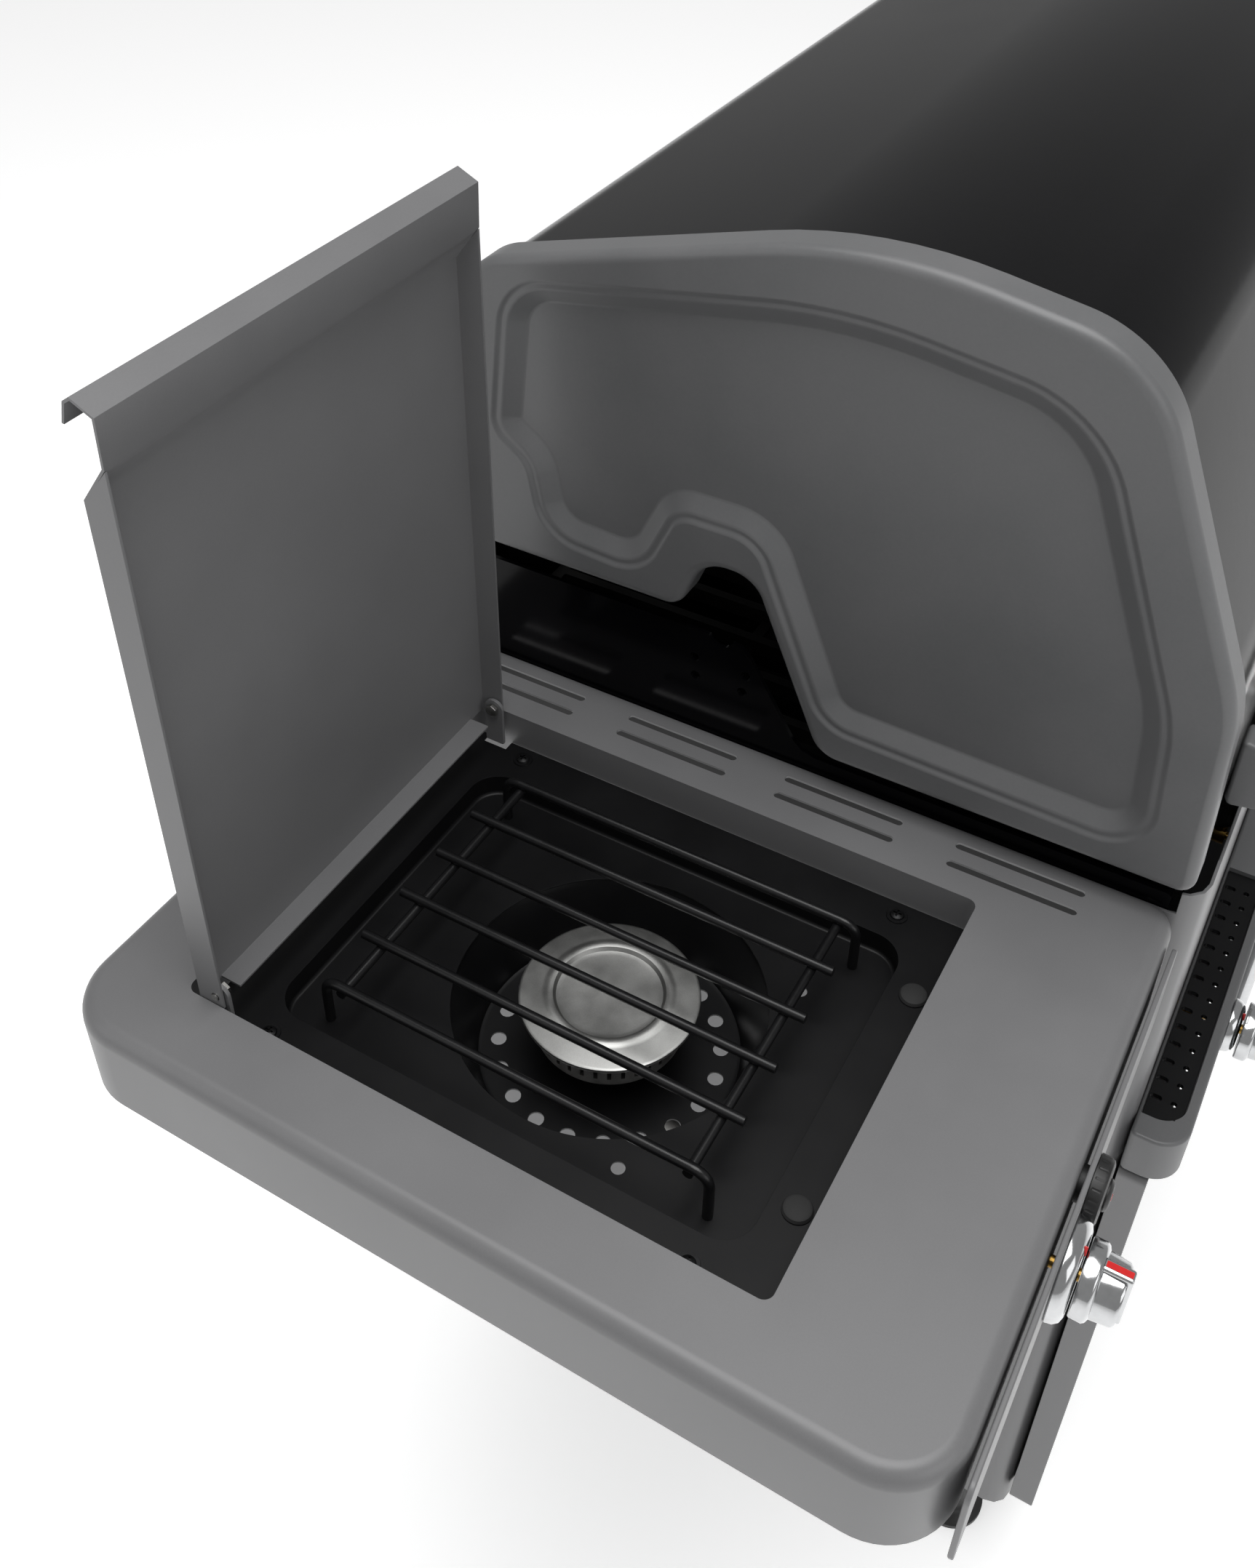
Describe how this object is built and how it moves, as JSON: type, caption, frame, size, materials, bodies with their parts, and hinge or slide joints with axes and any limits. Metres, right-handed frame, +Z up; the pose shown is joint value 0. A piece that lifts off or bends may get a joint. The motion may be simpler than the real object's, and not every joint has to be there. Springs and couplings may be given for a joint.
{
  "type": "gas barbecue grill",
  "caption": "Cabinet gas barbecue grill with a domed hinged lid, side shelves, a side burner with its own lid, a front tool ledge with knobs, doors and wheels.",
  "frame": {"origin": "on the floor, at the middle of the overall width and depth at rest", "axes": "+X to the user's right, -Y towards the user at the front, +Z up"},
  "size_m": [1.4326, 0.608, 1.2672],
  "materials": {
    "grey_paint": "satin grey powder coat with fine grain",
    "cast_grey": "painted casting, satin",
    "gloss_black": "gloss black porcelain enamel",
    "black_enamel": "black enamel, semi gloss",
    "cast_iron": "matt, seasoned",
    "stainless": "brushed",
    "aluminium": "as cast and machined",
    "chrome": "chrome plated",
    "brass": "machined",
    "black_plastic": "fine texture",
    "rubber": "matt"
  },
  "bodies": {
    "root": {"base_pan": "grey_paint", "left_side_panel": "grey_paint", "right_side_panel": "grey_paint", "back_panel": "grey_paint", "axle": "stainless", "front_foot": "rubber", "rear_foot": "rubber", "ledge_frame": "grey_paint", "left_ledge_insert": "black_plastic", "right_ledge_insert": "black_plastic", "front_panel": "grey_paint", "gas_manifold": "stainless", "main_valve_1": "brass", "main_valve_2": "brass", "main_valve_3": "brass", "side_gas_tube": "stainless", "side_valve": "brass", "firebox": "gloss_black", "tube_burner_1": "stainless", "flame_tamer_1": "black_enamel", "tube_burner_2": "stainless", "flame_tamer_2": "black_enamel", "tube_burner_3": "stainless", "flame_tamer_3": "black_enamel", "left_hinge_pin": "stainless", "right_hinge_pin": "stainless", "left_shelf": "grey_paint", "right_shelf": "grey_paint", "side_fascia": "grey_paint", "igniter_housing": "black_plastic", "burner_tray": "black_enamel", "burner_bowl": "black_enamel", "burner_head": "aluminium", "burner_lid_left_pin": "stainless", "burner_lid_right_pin": "stainless"},
    "left_door": {"left_door": "grey_paint", "left_door_handle": "chrome"},
    "right_door": {"right_door": "grey_paint", "right_door_handle": "chrome"},
    "front_wheel": {"front_wheel": "rubber"},
    "rear_wheel": {"rear_wheel": "rubber"},
    "main_knob_1": {"main_knob_1": "chrome"},
    "main_knob_2": {"main_knob_2": "chrome"},
    "main_knob_3": {"main_knob_3": "chrome"},
    "side_knob": {"side_knob": "chrome"},
    "igniter_button": {"igniter_button": "black_plastic"},
    "left_grate": {"left_cooking_grate": "cast_iron"},
    "right_grate": {"right_cooking_grate": "cast_iron"},
    "grease_tray": {"grease_tray": "aluminium", "grease_cup": "aluminium"},
    "lid": {"lid_barrel": "gloss_black", "lid_left_end": "cast_grey", "lid_right_end": "cast_grey", "lid_handle_tube": "stainless", "lid_handle_left_bracket": "cast_grey", "lid_handle_right_bracket": "cast_grey", "thermometer": "chrome"},
    "burner_cap": {"burner_cap": "aluminium"},
    "trivet": {"trivet": "black_enamel"},
    "burner_lid": {"burner_lid": "grey_paint"}
  },
  "joints": [
    {"name": "left_door_hinge", "type": "hinge", "parent": "root", "child": "left_door", "pos_m": [-0.327, -0.236, 0.38], "axis": [0, 0, -1], "range_deg": [0, 100]},
    {"name": "right_door_hinge", "type": "hinge", "parent": "root", "child": "right_door", "pos_m": [0.327, -0.236, 0.38], "axis": [0, 0, 1], "range_deg": [0, 100]},
    {"name": "front_wheel_spin", "type": "hinge", "parent": "root", "child": "front_wheel", "pos_m": [0.25, -0.185, 0.062], "axis": [0, 1, 0], "continuous": true},
    {"name": "rear_wheel_spin", "type": "hinge", "parent": "root", "child": "rear_wheel", "pos_m": [0.25, 0.245, 0.062], "axis": [0, 1, 0], "continuous": true},
    {"name": "main_knob_1_turn", "type": "hinge", "parent": "root", "child": "main_knob_1", "pos_m": [-0.19, -0.292, 0.651], "axis": [0, 1, 0], "range_deg": [0, 120]},
    {"name": "main_knob_2_turn", "type": "hinge", "parent": "root", "child": "main_knob_2", "pos_m": [0, -0.292, 0.651], "axis": [0, 1, 0], "range_deg": [0, 120]},
    {"name": "main_knob_3_turn", "type": "hinge", "parent": "root", "child": "main_knob_3", "pos_m": [0.19, -0.292, 0.651], "axis": [0, 1, 0], "range_deg": [0, 120]},
    {"name": "side_knob_turn", "type": "hinge", "parent": "root", "child": "side_knob", "pos_m": [-0.553, -0.25, 0.838], "axis": [0, 1, 0], "range_deg": [0, 120]},
    {"name": "igniter_press", "type": "slide", "parent": "root", "child": "igniter_button", "axis": [0, 1, 0], "range_m": [0, 0.003], "stiffness_N_per_m": 300, "springref_m": -0.002},
    {"name": "left_grate_lift", "type": "slide", "parent": "root", "child": "left_grate", "axis": [0, 0, 1], "range_m": [0, 0.025]},
    {"name": "right_grate_lift", "type": "slide", "parent": "root", "child": "right_grate", "axis": [0, 0, 1], "range_m": [0, 0.025]},
    {"name": "grease_tray_slide", "type": "slide", "parent": "root", "child": "grease_tray", "axis": [0, 1, 0], "range_m": [0, 0.2]},
    {"name": "lid_hinge", "type": "hinge", "parent": "root", "child": "lid", "pos_m": [0, 0.244, 1.024], "axis": [-1, 0, 0], "range_deg": [0, 80]},
    {"name": "burner_cap_lift", "type": "slide", "parent": "root", "child": "burner_cap", "axis": [0, 0, 1], "range_m": [0, 0.015]},
    {"name": "trivet_lift", "type": "slide", "parent": "root", "child": "trivet", "axis": [0, 0, 1], "range_m": [0, 0.08]},
    {"name": "burner_lid_hinge", "type": "hinge", "parent": "root", "child": "burner_lid", "pos_m": [-0.525, 0.223, 0.886], "axis": [1, 0, 0], "range_deg": [0, 90]}
  ]
}
